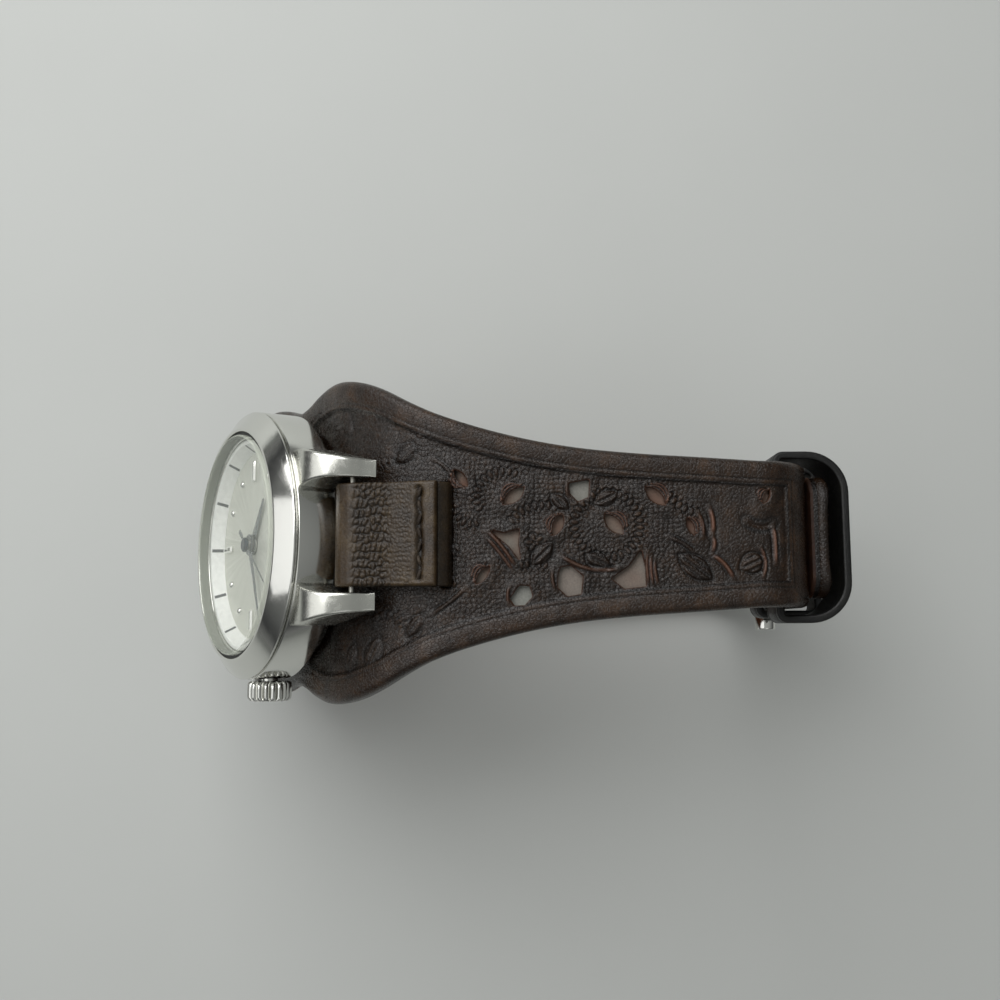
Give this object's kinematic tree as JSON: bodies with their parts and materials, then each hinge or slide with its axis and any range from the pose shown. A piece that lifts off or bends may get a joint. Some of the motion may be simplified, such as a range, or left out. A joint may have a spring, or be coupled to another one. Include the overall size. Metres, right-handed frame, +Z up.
{
  "type": "cuff watch",
  "caption": "Round polished steel wristwatch on a wide tooled and pierced brown leather cuff, closed in a loop by a buckle and leather keepers.",
  "frame": {"origin": "middle of the closed loop's footprint, on the surface that the lower side of the cuff rests on", "axes": "+Z up; the dial faces -Y and leans back 33 degrees, twelve o'clock is its upper end, +X points to three o'clock and the crown"},
  "size_m": [0.0418, 0.0893, 0.0519],
  "materials": {
    "polished_steel": "mirror polished stainless steel",
    "crystal_glass": "clear mineral crystal with a pale green edge",
    "gasket": "moulded seal rubber",
    "ring_white": "moulded white ring with printed grey bars",
    "dial_pearl": "silver pearl lacquer",
    "hub_blue": "dark blue-grey enamel",
    "brass_train": "cut brass",
    "steel_part": "fine ground steel",
    "copper": "enamelled copper wire",
    "board": "printed board",
    "holder": "moulded plastic",
    "leather_tooled": "dark brown tooled leather",
    "leather_tab": "smooth brown grained leather",
    "leather_lining": "smooth brown lining leather",
    "leather_black": "black edge-painted leather",
    "suede": "pinkish tan suede"
  },
  "bodies": {
    "watch": {"case_middle": "polished_steel", "bezel": "polished_steel", "crystal": "crystal_glass", "crystal_gasket": "gasket", "case_back": "polished_steel", "case_back_gasket": "gasket", "chapter_ring": "ring_white", "dial": "dial_pearl", "hour_batons": "polished_steel", "hour_domes": "polished_steel", "main_plate": "brass_train", "train_bridge": "steel_part", "stator": "steel_part", "coil_core": "steel_part", "coil_winding": "copper", "circuit_board": "board", "battery": "steel_part", "battery_clamp": "steel_part", "movement_screws": "steel_part", "movement_holder": "holder", "crown_tube": "polished_steel", "spring_bar_12": "polished_steel", "spring_bar_6": "polished_steel", "tab_12": "leather_tab", "tab_6": "leather_tab", "cuff_upper": "leather_tooled", "cuff_underlay": "suede", "cuff_lining": "leather_lining", "buckle_bar": "polished_steel", "keeper_fixed": "leather_black"},
    "minutes": {"minute_hand": "polished_steel", "cannon_pinion": "brass_train", "centre_wheel": "brass_train"},
    "hours": {"hour_hand": "polished_steel", "hour_wheel": "brass_train"},
    "seconds": {"second_hand": "hub_blue", "seconds_wheel": "brass_train"},
    "motion_work": {"minute_wheel": "brass_train"},
    "third": {"third_wheel": "brass_train"},
    "relay": {"intermediate_wheel": "brass_train"},
    "magnet": {"rotor": "steel_part"},
    "setting": {"clutch_pinion": "steel_part"},
    "winder": {"crown": "polished_steel", "crown_gasket": "gasket", "stem": "steel_part"},
    "tip_12_left": {"bar_tip_12_left": "polished_steel"},
    "tip_12_right": {"bar_tip_12_right": "polished_steel"},
    "tip_6_left": {"bar_tip_6_left": "polished_steel"},
    "tip_6_right": {"bar_tip_6_right": "polished_steel"},
    "buckle": {"buckle_frame": "polished_steel"},
    "prong": {"buckle_prong": "polished_steel"},
    "loose_loop": {"keeper_free": "leather_black"}
  },
  "joints": [
    {"name": "second_turn", "type": "hinge", "parent": "watch", "child": "seconds", "pos_m": [0, -0.03475, 0.03431], "axis": [0, -0.8387, 0.5446], "continuous": true},
    {"name": "minute_turn", "type": "hinge", "parent": "watch", "child": "minutes", "pos_m": [0, -0.03475, 0.03431], "axis": [0, -0.8387, 0.5446], "continuous": true},
    {"name": "hour_turn", "type": "hinge", "parent": "watch", "child": "hours", "pos_m": [0, -0.03475, 0.03431], "axis": [0, -0.8387, 0.5446], "continuous": true},
    {"name": "motion_work_turn", "type": "hinge", "parent": "watch", "child": "motion_work", "pos_m": [0.002, -0.03663, 0.0314], "axis": [0, -0.8387, 0.5446], "continuous": true},
    {"name": "third_turn", "type": "hinge", "parent": "watch", "child": "third", "pos_m": [-0.0047, -0.03568, 0.03287], "axis": [0, -0.8387, 0.5446], "continuous": true},
    {"name": "relay_turn", "type": "hinge", "parent": "watch", "child": "relay", "pos_m": [0.00087, -0.03204, 0.03847], "axis": [0, -0.8387, 0.5446], "continuous": true},
    {"name": "rotor_turn", "type": "hinge", "parent": "watch", "child": "magnet", "pos_m": [0.00392, -0.03144, 0.0394], "axis": [0, -0.8387, 0.5446], "continuous": true},
    {"name": "crown_turn", "type": "hinge", "parent": "watch", "child": "setting", "pos_m": [0, -0.03148, 0.03218], "axis": [1, 0, 0], "continuous": true},
    {"name": "crown_pull", "type": "slide", "parent": "setting", "child": "winder", "axis": [1, 0, 0], "range_m": [0, 0.0009]},
    {"name": "buckle_tilt", "type": "hinge", "parent": "watch", "child": "buckle", "pos_m": [0, 0.0366, 0.027], "axis": [1, 0, 0], "range_deg": [-1, 0]},
    {"name": "prong_tilt", "type": "hinge", "parent": "watch", "child": "prong", "pos_m": [0, 0.0366, 0.027], "axis": [1, 0, 0], "range_deg": [0, 1]},
    {"name": "keeper_slide", "type": "slide", "parent": "watch", "child": "loose_loop", "axis": [0, 0, 1], "range_m": [-0.002, 0.0002]},
    {"name": "tip_12_right_press", "type": "slide", "parent": "watch", "child": "tip_12_right", "axis": [-1, 0, 0], "range_m": [0, 0.0008], "stiffness_N_per_m": 20},
    {"name": "tip_12_left_press", "type": "slide", "parent": "watch", "child": "tip_12_left", "axis": [1, 0, 0], "range_m": [0, 0.0008], "stiffness_N_per_m": 20},
    {"name": "tip_6_right_press", "type": "slide", "parent": "watch", "child": "tip_6_right", "axis": [-1, 0, 0], "range_m": [0, 0.0008], "stiffness_N_per_m": 20},
    {"name": "tip_6_left_press", "type": "slide", "parent": "watch", "child": "tip_6_left", "axis": [1, 0, 0], "range_m": [0, 0.0008], "stiffness_N_per_m": 20}
  ],
  "couplings": [
    {"joint": "minute_turn", "follows": "second_turn", "ratio": 0.016667},
    {"joint": "hour_turn", "follows": "second_turn", "ratio": 0.0013889},
    {"joint": "motion_work_turn", "follows": "second_turn", "ratio": -0.0055556},
    {"joint": "third_turn", "follows": "second_turn", "ratio": -0.13333},
    {"joint": "relay_turn", "follows": "second_turn", "ratio": -6},
    {"joint": "rotor_turn", "follows": "second_turn", "ratio": 30}
  ]
}
